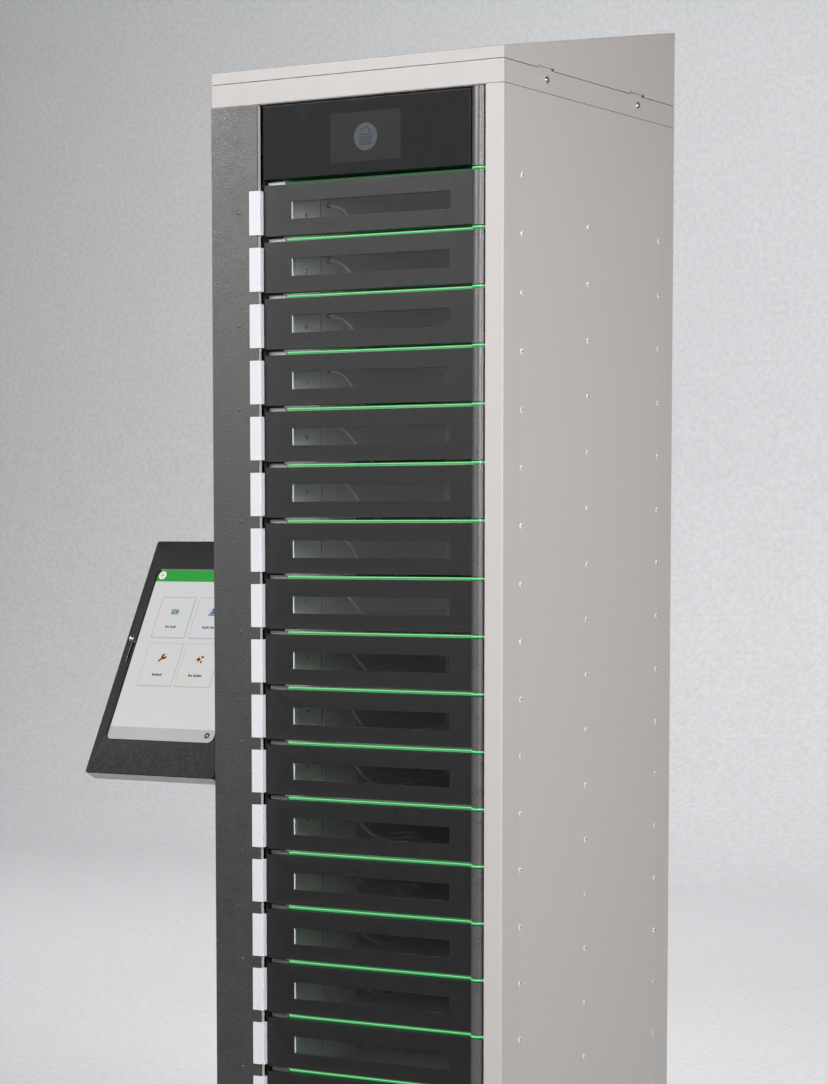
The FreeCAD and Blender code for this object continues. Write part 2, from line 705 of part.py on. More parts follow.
def main_board():
    z = line(0)
    top = z + 9.6
    board = box(-60, 120, 80, 230, z + 8, top)
    posts = [rod(x, y, z + SHELF_TOP, Z_AXIS, 3, 8 - SHELF_TOP) for x in (-54, 114) for y in (86, 224)]
    parts = [
        box(-20, 20, 130, 170, top, top + 6), box(50, 66, 84, 104, top, top + 13),
        box(76, 92, 84, 104, top, top + 13), box(60, 100, 180, 215, top, top + 3),
        box(-50, -30, 190, 224, top, top + 10),
    ]
    return fused([board, *posts, *parts])


def power_supply():
    body = box(-INNER, -INNER + 42, 130, 350, 140, 255)
    slots = [box(-INNER + 40, -INNER + 43, 145 + 10 * i, 150 + 10 * i, 160, 235) for i in range(12)]
    terminals = box(-INNER + 6, -INNER + 26, 350, 366, 160, 235)
    return fused([body, terminals]).cut(group(slots))


def inlet_body():
    return INLET_X - 14, INLET_X + 14


def power_inlet():
    """Mains inlet: a flange on the rear panel, a socket cavity and three blades."""
    front = REAR_Y + SKIN
    body = box(*inlet_body(), front - 24, front, INLET_Z - 10, INLET_Z + 10)
    flange = box(INLET_X - 25, INLET_X + 25, front, DEPTH, INLET_Z - 12, INLET_Z + 12)
    cavity = box(INLET_X - 12, INLET_X + 12, DEPTH - 17, DEPTH, INLET_Z - 8.2, INLET_Z + 8.2)
    blades = []
    for x, z in ((-7, -0.5), (0, 3), (7, -0.5)):
        across = INLET_X + x
        up = INLET_Z + z
        blades.append(box(across - 1, across + 1, DEPTH - 18, DEPTH - 3, up - 2, up + 2))
    return fused([fused([body, flange]).cut(cavity), *blades])


def fan_housing():
    half = FAN_SIZE / 2
    back = REAR_Y
    front = back - FAN_T
    block = box(-half, half, front, back, FAN_Z - half, FAN_Z + half)
    block = rounded(block, 4, lambda middle, direction: abs(direction.y) > 0.9)
    block = block.cut(rod(0, front, FAN_Z, Y_AXIS, FAN_BORE_R, FAN_T))
    seat = rod(0, back - 5, FAN_Z, Y_AXIS, HUB_R, 5)
    struts = [
        box(-half + 1, half - 1, back - 4, back, FAN_Z - 1.5, FAN_Z + 1.5),
        box(-1.5, 1.5, back - 4, back, FAN_Z - half + 1, FAN_Z + half - 1),
    ]
    bearing = rod(0, back - 5, FAN_Z, Y_AXIS, SHAFT_R + RUNNING, 4)
    return fused([block, seat, *struts]).cut(bearing)


def fan_rotor():
    front = REAR_Y - FAN_T + 1.5
    hub_back = REAR_Y - 5.5
    hub = rod(0, front, 0, Y_AXIS, HUB_R, hub_back - front)
    shaft = rod(0, hub_back, 0, Y_AXIS, SHAFT_R, 4)
    blades = []
    for i in range(BLADES):
        blade = box(HUB_R - 2, ROTOR_R, -0.75, 0.75, -8, 8)
        blade.rotate(Vector(0, 0, 0), X_AXIS, 35)
        blade.translate(Vector(0, (front + hub_back) / 2, 0))
        blade.rotate(Vector(0, 0, 0), Y_AXIS, i * 360 / BLADES)
        blades.append(blade)
    rotor = fused([hub, shaft, *blades])
    rim = rod(0, front - 20, 0, Y_AXIS, ROTOR_R, 60)
    rotor = rotor.common(rim)
    rotor.translate(Vector(0, 0, FAN_Z))
    return rotor


# Charging cables


def arc_radius(before, at, after):
    """Radius of the arc that joins two straight runs, and its tangent length."""
    run_in = at - before
    run_out = after - at
    turn = run_in.getAngle(run_out)
    reach = 0.45 * min(run_in.Length, run_out.Length)
    return reach / math.tan(turn / 2), reach, turn


def cable_path(points):
    """Straight runs joined by tangent arcs, and the smallest arc radius."""
    edges = []
    radii = []
    start = points[0]
    for before, at, after in zip(points, points[1:], points[2:]):
        radius, reach, turn = arc_radius(before, at, after)
        inward = (before - at).normalize()
        outward = (after - at).normalize()
        first = at + inward * reach
        last = at + outward * reach
        bisector = (inward + outward).normalize()
        middle = at + bisector * (radius / math.cos(turn / 2) - radius)
        edges.append(Part.LineSegment(start, first).toShape())
        edges.append(Part.Arc(first, middle, last).toShape())
        radii.append(radius)
        start = last
    edges.append(Part.LineSegment(start, points[-1]).toShape())
    return Part.Wire(edges), min(radii)


def route(n):
    z = line(n)
    return [Vector(x, y, z + up) for x, y, up in CABLE_ROUTES[n % len(CABLE_ROUTES)]]


def cable(n):
    points = route(n)
    path, smallest = cable_path(points)
    start = (points[1] - points[0]).normalize()
    profile = Part.Wire(Part.makeCircle(CABLE_R, points[0], start))
    tube = path.makePipeShell([profile], True, True)
    if n <= len(CABLE_ROUTES):
        expected = math.pi * CABLE_R ** 2 * path.Length
        print(f"cable {n}: length {path.Length:.1f}, smallest radius {smallest:.1f}, "
              f"volume ratio {tube.Volume / expected:.4f}")
    return tube


def cable_plug(n):
    """USB-C plug lying on the shelf at the cable's end."""
    before, end = route(n)[-2:]
    heading = math.degrees(math.atan2(end.y - before.y, end.x - before.x))
    half = PLUG_WIDTH / 2
    grip = box(0, PLUG_LENGTH, -half, half, -PLUG_T / 2, PLUG_T / 2)
    grip = rounded(grip, 2.4, lambda middle, direction: abs(direction.x) > 0.9)
    tip = box(PLUG_LENGTH, PLUG_LENGTH + 6.5, -4.1, 4.1, -1.2, 1.2)
    tip = rounded(tip, 1.1, lambda middle, direction: abs(direction.x) > 0.9)
    plug = fused([grip, tip])
    plug.rotate(Vector(0, 0, 0), Z_AXIS, heading)
    plug.translate(end)
    return plug


# Base


def bottom_rail():
    front = 2.0
    back = front + RAIL_DEPTH
    low = FLOOR_Z + SKIN
    high = LOWEST_LINE - 5
    left = LIP_LEFT
    right = STILE_LEFT - 0.5
    block = box(left, right, front, back, low, high)
    block = rounded(block, 1.0, lambda middle, direction: middle.y < front + 0.01 and abs(direction.x) > 0.9)
    block = block.cut(box(left, right, front + SKIN, back, low + SKIN, high - SKIN))
    return block.cut(box(left, BAY_WALL + CLEAR, JAMB_BACK - CLEAR, back, low, high))


def plinth_bolt_places():
    return [(side * PLINTH_BOLT_X, y) for side in (-1, 1) for y in PLINTH_BOLT_Y]


def plinth_bolt_holes():
    return group([rod(x, y, FLOOR_Z - 8, Z_AXIS, M8_R + CLEAR, 12) for x, y in plinth_bolt_places()])


def floor_pan():
    pan = box(-INNER, INNER, JAMB_FRONT, REAR_Y, FLOOR_Z, FLOOR_Z + SKIN)
    corner = box(STILE_LEFT - CLEAR, INNER, JAMB_FRONT, STILE_RETURN + CLEAR, FLOOR_Z, FLOOR_Z + SKIN)
    return pan.cut(corner).cut(plinth_bolt_holes())


def plinth():
    wall = PLINTH_WALL
    block = box(-PLINTH_X, PLINTH_X, PLINTH_FRONT, PLINTH_BACK, 0, FLOOR_Z)
    inside = box(-PLINTH_X + wall, PLINTH_X - wall, PLINTH_FRONT + wall, PLINTH_BACK - wall,
                 wall, FLOOR_Z - wall)
    hatch = box(-PLINTH_X + 30, PLINTH_X - 30, PLINTH_FRONT + 60, PLINTH_BACK - 60, -1, wall + 1)
    lip = 25
    top = box(-PLINTH_X + lip, PLINTH_X - lip, PLINTH_FRONT + lip, PLINTH_BACK - lip,
              FLOOR_Z - wall - 1, FLOOR_Z + 1)
    middle = DEPTH / 2
    anchors = [rod(x, middle + y, -1, Z_AXIS, ANCHOR_R, wall + 2)
               for x in (-ANCHOR_X, ANCHOR_X) for y in (-ANCHOR_Y, ANCHOR_Y)]
    for opening in (inside, hatch, top, group(anchors), plinth_bolt_holes()):
        block = block.cut(opening)
    return block


def plinth_bolts():
    pieces = []
    for x, y in plinth_bolt_places():
        pieces.append(screw(x, y, FLOOR_Z + SKIN, Z_AXIS * -1, M8_R, 7, 5, 16))
        pieces.append(nut(x, y, FLOOR_Z - PLINTH_WALL, Z_AXIS * -1, M8_R))
    return group(pieces)


# Tablet terminal


def lean(shape):
    """Moves a piece of the terminal from its own frame to its place on the cabinet."""
    shape = shape.copy()
    shape.rotate(Vector(0, 0, 0), X_AXIS, -CASE_LEAN)
    shape.translate(Vector(CASE_X, CASE_Y, CASE_Z))
    return shape


def pivot():
    """Tilt axis as (y, z)."""
    angle = math.radians(CASE_LEAN)
    y = CASE_Y + PIVOT_Y * math.cos(angle) + PIVOT_Z * math.sin(angle)
    z = CASE_Z + PIVOT_Z * math.cos(angle) - PIVOT_Y * math.sin(angle)
    return y, z


def tablet_tray():
    wall = CASE_WALL
    block = box(0, CASE_W, BEZEL_T, CASE_T, 0, CASE_H)
    edges = [e for e in block.Edges if e.CenterOfMass.y > CASE_T - 0.01]
    block = block.makeChamfer(5, edges)
    block = rounded(block, 3, lambda middle, direction: abs(direction.y) > 0.9)
    block = block.cut(box(wall, CASE_W - wall, BEZEL_T, CASE_T - wall, wall, CASE_H - wall))
    posts = []
    for x in (TABLET_X[0] + 20, TABLET_X[1] - 20):
        for z in (TABLET_Z[0] + 30, TABLET_Z[1] - 30):
            posts.append(rod(x, BEZEL_T + TABLET_T, z, Y_AXIS, 6, CASE_T - wall - BEZEL_T - TABLET_T))
    lugs = []
    for x in LUG_X:
        lugs.append(box(x, x + LUG_W, CASE_T - 0.1, PIVOT_Y, PIVOT_Z - LUG_R, PIVOT_Z + LUG_R))
        lugs.append(rod(x, PIVOT_Y, PIVOT_Z, X_AXIS, LUG_R, LUG_W))
    bore = rod(0, PIVOT_Y, PIVOT_Z, X_AXIS, SPINDLE_R + RUNNING, CASE_W)
    return lean(fused([block, *posts, *lugs]).cut(bore))


def tablet_bezel():
    block = box(0, CASE_W, 0, BEZEL_T, 0, CASE_H)
    block = rounded(block, 3, lambda middle, direction: abs(direction.y) > 0.9)
    front = [e for e in block.Edges if e.BoundBox.YMax < 0.01]
    block = block.makeFillet(1.2, front)
    window = box(*SCREEN_X, -1, BEZEL_T + 1, *SCREEN_Z)
    window = rounded(window, SCREEN_R, lambda middle, direction: abs(direction.y) > 0.9)
    slot = box(NOTCH_X, SCREEN_X[0] + 1, -1, BEZEL_T - 1, *NOTCH_Z)
    hole = rod(DOME_X, -1, DOME_Z, Y_AXIS, 2, BEZEL_T + 2)
    return lean(block.cut(group([window, slot, hole])))


def tablet():
    slab = box(*TABLET_X, BEZEL_T, BEZEL_T + TABLET_T, *TABLET_Z)
    slab = rounded(slab, 8, lambda middle, direction: abs(direction.y) > 0.9)
    return lean(slab)


def dome_screw():
    dome = Part.makeSphere(DOME_R * 1.25, Vector(DOME_X, DOME_R * 0.75, DOME_Z))
    dome = dome.common(box(0, 20, -5, 0, DOME_Z - 10, DOME_Z + 10))
    shank = rod(DOME_X, 0, DOME_Z, Y_AXIS, 2, BEZEL_T + 3)
    return lean(dome.fuse(shank).removeSplitter())


def tablet_arm():
    y, z = pivot()
    plate = box(-SIDE - ARM_T, -SIDE, y - ARM_PLATE, y + ARM_PLATE, z - ARM_PLATE, z + ARM_PLATE)
    plate = rounded(plate, 8, lambda middle, direction: abs(direction.x) > 0.9)
    boss = rod(BOSS_END, y, z, X_AXIS, BOSS_R, -SIDE - ARM_T - BOSS_END)
    socket = rod(BOSS_END, y, z, X_AXIS, SPINDLE_R + RUNNING, 30)
    holes = [rod(-SIDE - 8, i, j, X_AXIS, M6_R, 12) for i, j in arm_screw_places()]
    return fused([plate, boss]).cut(group([socket, *holes]))


def tilt_spindle():
    y, z = pivot()
    outer = CASE_X + LUG_X[0] - 2
    shaft = rod(outer, y, z, X_AXIS, SPINDLE_R, BOSS_END + 30 - outer)
    cap = rod(outer - 3, y, z, X_AXIS, SPINDLE_R + 3, 3)
    return fused([shaft, cap])


def arm_screws():
    pieces = []
    for y, z in arm_screw_places():
        pieces.append(screw(-SIDE - ARM_T, y, z, X_AXIS, M6_R, 5.4, 3.2, 12))
        pieces.append(nut(-INNER, y, z, X_AXIS, M6_R))
    return group(pieces)


PIECES = {
    "plinth": plinth, "plinth_bolts": plinth_bolts, "floor_pan": floor_pan, "bottom_rail": bottom_rail,
    "side_panel_right": side_panel_right, "side_panel_left": side_panel_left, "rear_panel": rear_panel,
    "crown_band": crown_band, "hood": hood, "m5_screws": m5_screws, "panel_rivets": panel_rivets,
    "column_cover": column_cover, "number_labels": number_labels, "module_screws": module_screws,
    "lock_bodies": lock_bodies, "lock_bolts": lock_bolts, "bay_wall": bay_wall,
    "bay_back_wall": bay_back_wall, "bay_shelves": bay_shelves, "light_guides": light_guides,
    "hinge_brackets": hinge_brackets, "hinge_rod": hinge_rod, "usb_modules": usb_modules,
    "panel_carrier": panel_carrier, "panel_glass": panel_glass, "touch_display": touch_display,
    "main_board": main_board, "power_supply": power_supply, "power_inlet": power_inlet,
    "fan_housing": fan_housing, "fan_rotor": fan_rotor, "tablet_arm": tablet_arm,
    "arm_screws": arm_screws, "tilt_spindle": tilt_spindle, "tablet_tray": tablet_tray,
    "tablet_bezel": tablet_bezel, "tablet": tablet, "dome_screw": dome_screw,
}

os.makedirs("parts", exist_ok=True)
for name, make in PIECES.items():
    save(name, make())
for number in range(1, BAYS + 1):
    save(f"door_{number:02d}", door(number))
save("charge_cables", group([cable(n) for n in range(1, BAYS + 1)]))
save("cable_plugs", group([cable_plug(n) for n in range(1, BAYS + 1)]))
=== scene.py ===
import math

import bmesh
import bpy
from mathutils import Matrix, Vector

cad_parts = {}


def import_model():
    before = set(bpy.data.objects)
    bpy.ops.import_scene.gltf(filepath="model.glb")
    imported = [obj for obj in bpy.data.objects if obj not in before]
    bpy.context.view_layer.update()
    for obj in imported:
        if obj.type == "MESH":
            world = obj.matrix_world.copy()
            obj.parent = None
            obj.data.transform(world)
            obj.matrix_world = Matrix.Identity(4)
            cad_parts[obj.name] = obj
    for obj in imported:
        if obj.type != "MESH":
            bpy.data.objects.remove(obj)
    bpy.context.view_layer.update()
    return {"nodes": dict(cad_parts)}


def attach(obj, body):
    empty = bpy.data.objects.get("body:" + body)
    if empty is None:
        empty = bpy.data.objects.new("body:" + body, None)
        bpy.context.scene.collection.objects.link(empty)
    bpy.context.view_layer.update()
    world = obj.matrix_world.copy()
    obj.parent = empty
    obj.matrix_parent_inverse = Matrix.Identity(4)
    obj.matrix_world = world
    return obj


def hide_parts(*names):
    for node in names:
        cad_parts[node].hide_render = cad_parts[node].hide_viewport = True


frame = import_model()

NODES = frame["nodes"]
BAYS = 20
PITCH = 0.068
TOP_LINE = 0.118 + BAYS * PITCH
FRONT = -0.224
SIDE = 0.205

HINGE = Vector((0.1692, FRONT + 0.0115))
BARREL_R = 0.0109
GUIDE_THICK = 0.0022


def line(bay):
    """Height of the line below a bay. Line 0 is the one below the control panel."""
    return TOP_LINE - bay * PITCH


# ---------------------------------------------------------------- materials


class Nodes:
    """A material's node tree with short ways to add and join nodes."""

    def __init__(self, name, mat=None):
        self.mat = mat or bpy.data.materials.new(name)
        self.mat.use_nodes = True
        self.tree = self.mat.node_tree
        self.bsdf = self.tree.nodes["Principled BSDF"]

    def add(self, kind, **values):
        node = self.tree.nodes.new(kind)
        for key, value in values.items():
            if key in node.inputs:
                node.inputs[key].default_value = value
            else:
                setattr(node, key, value)
        return node

    def join(self, out, into):
        self.tree.links.new(out, into)

    def place(self):
        return self.add("ShaderNodeTexCoord").outputs["Object"]

    def noise(self, scale, detail=3.0, roughness=0.55, stretch=None):
        """Noise over the object's own place, in metres, drawn out along an axis where stretch says."""
        noise = self.add("ShaderNodeTexNoise", Scale=scale, Detail=detail, Roughness=roughness)
        source = self.place()
        if stretch:
            mapping = self.add("ShaderNodeMapping")
            mapping.inputs["Scale"].default_value = stretch
            self.join(source, mapping.inputs["Vector"])
            source = mapping.outputs["Vector"]
        self.join(source, noise.inputs["Vector"])
        return noise.outputs["Fac"]

    def ramp(self, fac, low, high, start=0.3, end=0.7):
        """A value turned into a tone from low to high, each a grey or a colour."""
        ramp = self.add("ShaderNodeValToRGB")
        ramp.color_ramp.elements[0].position = start
        ramp.color_ramp.elements[1].position = end
        for element, value in zip(ramp.color_ramp.elements, (low, high)):
            element.color = (*value, 1.0) if hasattr(value, "__len__") else (value, value, value, 1.0)
        self.join(fac, ramp.inputs["Fac"])
        return ramp.outputs["Color"]

    def bump(self, height, strength, distance):
        bump = self.add("ShaderNodeBump", Strength=strength, Distance=distance)
        self.join(height, bump.inputs["Height"])
        self.join(bump.outputs["Normal"], self.bsdf.inputs["Normal"])

    def set(self, **values):
        for key, value in values.items():
            self.bsdf.inputs[key.replace("_", " ")].default_value = value


def shade(colour, factor):
    return tuple(min(1.0, c * factor) for c in colour)


def coated(name, colour, rough=0.5, grain=1400.0, strength=0.25, spread=0.06, depth=0.00012, edge=1.25,
           shine=0.5, fleck=1.0, ior=1.5):
    """Powder coat: a fine pebbled skin, a slow drift in tone and slightly lighter worn edges.

    Fleck above 1 makes the grain show, in the tone and in how sharply it shines.
    """
    n = Nodes(name)
    n.set(Specular_IOR_Level=shine, IOR=ior)
    drift = n.ramp(n.noise(4.0, 4.0), shade(colour, 1 - spread), shade(colour, 1 + spread))
    speck = n.ramp(n.noise(grain, 2.0), 0.9 / fleck, fleck, 0.35, 0.65)
    mixed = n.add("ShaderNodeMix", data_type="RGBA", blend_type="MULTIPLY")
    mixed.inputs["Factor"].default_value = 1.0
    n.join(drift, mixed.inputs["A"])
    n.join(speck, mixed.inputs["B"])
    worn = n.add("ShaderNodeMix", data_type="RGBA")
    point = n.ramp(n.add("ShaderNodeNewGeometry").outputs["Pointiness"], 0.0, 1.0, 0.53, 0.62)
    n.join(point, worn.inputs["Factor"])
    n.join(mixed.outputs["Result"], worn.inputs["A"])
    worn.inputs["B"].default_value = (*shade(colour, edge), 1.0)
    n.join(worn.outputs["Result"], n.bsdf.inputs["Base Color"])
    slow = n.ramp(n.noise(60.0, 3.0), rough - 0.05, rough + 0.05)
    swing = fleck ** 0.5
    fine = n.add("ShaderNodeMath", operation="MULTIPLY")
    n.join(slow, fine.inputs[0])
    n.join(n.ramp(n.noise(grain * 0.8, 2.0), 2.0 - swing, swing, 0.38, 0.62), fine.inputs[1])
    n.join(fine.outputs["Value"], n.bsdf.inputs["Roughness"])
    n.bump(n.noise(grain, 3.0, 0.6), strength, depth)
    return n.mat


def metal(name, colour, rough=0.35, grain=(1.0, 1.0, 1.0), scale=300.0, spread=0.1):
    """Bare or plated steel with a faint grain."""
    n = Nodes(name)
    n.set(Metallic=1.0)
    tone = n.ramp(n.noise(scale, 4.0, 0.6, grain), shade(colour, 1 - spread), shade(colour, 1 + spread))
    polish = n.ramp(n.noise(scale * 0.4, 3.0, 0.5, grain), rough - 0.08, rough + 0.08)
    n.join(tone, n.bsdf.inputs["Base Color"])
    n.join(polish, n.bsdf.inputs["Roughness"])
    n.bump(n.noise(scale, 3.0, 0.5, grain), 0.15, 0.0001)
    return n.mat


def plastic(name, colour, rough=0.4, grain=900.0, strength=0.1, spread=0.04):
    """Moulded or painted plastic, nearly even."""
    n = Nodes(name)
    n.join(n.ramp(n.noise(14.0, 3.0), shade(colour, 1 - spread), shade(colour, 1 + spread)),
           n.bsdf.inputs["Base Color"])
    n.join(n.ramp(n.noise(45.0, 2.0), rough - 0.04, rough + 0.04), n.bsdf.inputs["Roughness"])
    n.bump(n.noise(grain, 2.0), strength, 0.00008)
    return n.mat


def glowing(name, colour, light, rough=0.15):
    """Edge-lit acrylic: brightest where the light runs along it."""
    n = Nodes(name)
    n.set(Base_Color=(*colour, 1.0), Roughness=rough, Emission_Strength=1.0)
    along = n.noise(30.0, 3.0, 0.5, (0.4, 1.0, 1.0))
    n.join(n.ramp(along, shade(light, 0.75), light), n.bsdf.inputs["Emission Color"])
    return n.mat


def guide_front(name, low, high):
    """The front edge of each guide: a deep green foot below a bright green line."""
    n = Nodes(name)
    n.set(Base_Color=(0.03, 0.20, 0.08, 1.0), Roughness=0.15, Specular_IOR_Level=0.25)
    n.set(Emission_Strength=1.0)
    split = n.add("ShaderNodeSeparateXYZ")
    n.join(n.place(), split.inputs["Vector"])
    offset = n.add("ShaderNodeMath", operation="ADD")
    offset.inputs[1].default_value = GUIDE_THICK / 2 - line(BAYS)
    n.join(split.outputs["Z"], offset.inputs[0])
    wrapped = n.add("ShaderNodeMath", operation="MODULO")
    wrapped.inputs[1].default_value = PITCH
    n.join(offset.outputs["Value"], wrapped.inputs[0])
    share = n.add("ShaderNodeMath", operation="DIVIDE")
    share.inputs[1].default_value = GUIDE_THICK
    n.join(wrapped.outputs["Value"], share.inputs[0])
    n.join(n.ramp(share.outputs["Value"], low, high, 0.35, 0.60), n.bsdf.inputs["Emission Color"])
    return n.mat


# How far back from the front the trays' painted green glow reaches.
SPILL = 0.05


def tray(name, colour):
    """The liner's coat with a painted green glow along its front edge, which stands in for the guide's
    light spilling over it.
    """
    mat = coated(name, colour, 0.40, 900.0, 0.12, 0.04, 0.00008, 1.1)
    n = Nodes(name, mat)
    split = n.add("ShaderNodeSeparateXYZ")
    n.join(n.place(), split.inputs["Vector"])
    reach = n.add("ShaderNodeMapRange")
    reach.inputs["From Min"].default_value = FRONT
    reach.inputs["From Max"].default_value = FRONT + SPILL
    n.join(split.outputs["Y"], reach.inputs["Value"])
    # Painted glow: green at the front edge, fading to none at SPILL.
    spill = n.ramp(reach.outputs["Result"], (0.03, 0.20, 0.05), 0.0, 0.5, 1.0)
    n.join(spill, n.bsdf.inputs["Emission Color"])
    n.set(Emission_Strength=1.0)
    return mat


def clear(name, tint, alpha, rough=0.03, smear=0.03):
    """Clear sheet seen by its reflections, with a faint haze of handling."""
    n = Nodes(name)
    n.set(Base_Color=(*tint, 1.0), Alpha=alpha, IOR=2.4, Specular_IOR_Level=1.0)
    n.join(n.ramp(n.noise(22.0, 4.0, 0.6), rough, rough + smear), n.bsdf.inputs["Roughness"])
    n.mat.blend_method = "BLEND"
    return n.mat


def lit(name, colour, strength=1.0):
    """A patch of a lit screen."""
    n = Nodes(name)
    n.set(Base_Color=(0.01, 0.01, 0.01, 1.0), Roughness=0.12, Emission_Strength=strength)
    n.join(n.ramp(n.noise(9.0, 1.0), shade(colour, 0.985), colour), n.bsdf.inputs["Emission Color"])
    return n.mat


SHELL = coated("shell_grey", (0.460, 0.442, 0.432), 0.45, 900.0, 0.10, 0.02, 0.00008, 1.0)
COLUMN = coated("column_black", (0.0092, 0.0086, 0.0090), 0.465, 620.0, 0.9, 0.10, 0.0004, 1.7,
                shine=1.0, fleck=1.5, ior=1.56)
CHARCOAL = coated("door_charcoal", (0.0048, 0.0045, 0.0048), 0.45, 700.0, 0.8, 0.08, 0.0003, 2.2,
                  shine=0.43, fleck=1.6)
# The barrels: the doors' charcoal coat with a lighter base colour, a painted sheen for the broad highlight
# they catch.
BARREL_SHEEN = coated("barrel_charcoal_painted_sheen", (0.042, 0.039, 0.040), 0.33, 700.0, 0.5, 0.08, 0.0002, 1.6,
                shine=0.95, fleck=1.3, ior=1.62)
DARK = coated("plinth_dark", (0.020, 0.020, 0.021), 0.5, 700.0, 0.4, 0.1, 0.0002, 1.5)
TERMINAL = coated("terminal_black", (0.015, 0.0142, 0.0147), 0.46, 480.0, 0.8, 0.08, 0.0003, 2.0,
                  shine=0.14, fleck=1.5)
# The case's lower edge: its black coat painted a light warm grey, a painted reflection of the floor's
# light.
TERMINAL_EDGE_REFLECTION = coated("terminal_edge_painted_reflection", (0.48, 0.44, 0.42), 0.42, 480.0, 0.6, 0.08, 0.0003, 1.3,
                       fleck=1.1)
ZINC = metal("zinc_sheet", (0.55, 0.55, 0.54), 0.38, (1.0, 0.15, 1.0), 260.0, 0.12)
LIP = metal("lip_steel", (0.34, 0.34, 0.35), 0.42, (0.2, 1.0, 1.0), 260.0, 0.15)
LINER = coated("liner_grey", (0.74, 0.73, 0.735), 0.40, 900.0, 0.12, 0.04, 0.00008, 1.1)
# The shelves' coat, with a painted green glow along their front.
TRAY_PAINTED_GLOW = tray("tray_grey_painted_glow", (0.62, 0.61, 0.61))
STEEL = metal("plain_steel", (0.70, 0.69, 0.68), 0.22, (1.0, 1.0, 0.1), 400.0, 0.06)
# The window's cut edge in the door frame: painted near-white, a painted glint down the window's left side.
CUT_EDGE_GLINT = plastic("cut_edge_painted_glint", (0.80, 0.81, 0.83), 0.12, 600.0, 0.02, 0.02)
SCREW = metal("screw_bright", (0.74, 0.73, 0.71), 0.25, (1.0, 1.0, 1.0), 700.0, 0.08)
# The rivets share the shell's coat; their lighter colour is a painted highlight on the domes.
RIVET_HIGHLIT = coated("rivet_paint_painted_highlight", (0.56, 0.54, 0.52), 0.30, 900.0, 0.06, 0.03, 0.00006, 1.1, shine=0.7)
# The hollow in each rivet's middle: painted near-black, painted shade.
HOLLOW_SHADE = plastic("rivet_hollow_painted_shade", (0.05, 0.047, 0.045), 0.5, 900.0, 0.1, 0.05)
LABEL = plastic("label_white", (0.56, 0.57, 0.61), 0.35, 500.0, 0.04, 0.01)
Nodes("label_white", LABEL).set(Emission_Color=(0.86, 0.88, 1.0, 1.0), Emission_Strength=0.09)
CABLE = plastic("cable_white", (0.85, 0.85, 0.83), 0.42, 1200.0, 0.08, 0.02)
PLUG = plastic("plug_white", (0.80, 0.80, 0.78), 0.38, 1500.0, 0.08, 0.02)
BLACK = plastic("moulded_black", (0.018, 0.018, 0.019), 0.5, 1400.0, 0.25, 0.08)
BOARD = plastic("board_green", (0.02, 0.11, 0.05), 0.35, 600.0, 0.15, 0.15)
SUPPLY = metal("supply_case", (0.45, 0.45, 0.44), 0.42, (1.0, 1.0, 0.2), 240.0, 0.1)
GUIDE = guide_front("guide_green", (0.012, 0.26, 0.11), (0.27, 0.76, 0.27))
GUIDE_SIDE = glowing("guide_side", (0.02, 0.20, 0.07), (0.03, 0.24, 0.07))
GUIDE_DIM = glowing("guide_unlit", (0.01, 0.05, 0.02), (0.004, 0.045, 0.012))
GLASS = clear("window_pane", (0.012, 0.013, 0.015), 0.12)
ACRYLIC = plastic("panel_acrylic", (0.006, 0.006, 0.0065), 0.07, 200.0, 0.002, 0.05)
CELL = plastic("display_cell", (0.02, 0.02, 0.022), 0.2, 600.0, 0.02, 0.05)
GOLD = metal("contact_gold", (0.36, 0.29, 0.20), 0.35, (1.0, 1.0, 1.0), 500.0, 0.1)


# ---------------------------------------------------------------- CAD nodes


def paint(name, *materials, pick=None):
    """Gives a CAD node its materials; pick(centre, normal) says which one a face takes."""
    obj = NODES[name]
    obj.data.materials.clear()
    for material in materials:
        obj.data.materials.append(material)
    for polygon in obj.data.polygons:
        polygon.material_index = pick(polygon.center, polygon.normal) if pick else 0
        polygon.use_smooth = True
    obj.data.set_sharp_from_angle(angle=math.radians(32))
    if "normals" not in obj.modifiers:
        normals = obj.modifiers.new("normals", "WEIGHTED_NORMAL")
        normals.keep_sharp = True
        normals.weight = 100
    return obj


def soften(name, width=0.0004, segments=2):
    """Rounds a node's sharp edges, so that they catch the light."""
    bevel = NODES[name].modifiers.new("edge", "BEVEL")
    bevel.width = width
    bevel.segments = segments
    bevel.limit_method = "ANGLE"
    bevel.angle_limit = math.radians(40)
    bevel.harden_normals = False


PLAIN = {
    "plinth": DARK, "plinth_bolts": SCREW, "floor_pan": ZINC, "bottom_rail": CHARCOAL,
    "side_panel_right": SHELL, "side_panel_left": SHELL, "rear_panel": SHELL, "crown_band": SHELL,
    "hood": SHELL, "m5_screws": SCREW, "panel_rivets": RIVET_HIGHLIT, "column_cover": COLUMN,
    "number_labels": LABEL, "module_screws": SCREW, "lock_bodies": BLACK, "lock_bolts": STEEL,
    "bay_wall": LINER, "bay_back_wall": LINER, "bay_shelves": LINER, "light_guides": GUIDE,
    "hinge_brackets": ZINC, "hinge_rod": STEEL, "usb_modules": BLACK, "panel_carrier": CHARCOAL,
    "panel_glass": ACRYLIC, "touch_display": CELL, "main_board": BOARD, "power_supply": SUPPLY,
    "power_inlet": BLACK, "fan_housing": BLACK, "fan_rotor": BLACK, "tablet_arm": COLUMN,
    "arm_screws": SCREW, "tilt_spindle": STEEL, "tablet_tray": TERMINAL, "tablet_bezel": TERMINAL,
    "tablet": CELL, "dome_screw": SCREW,
}
for name, material in PLAIN.items():
    paint(name, material)


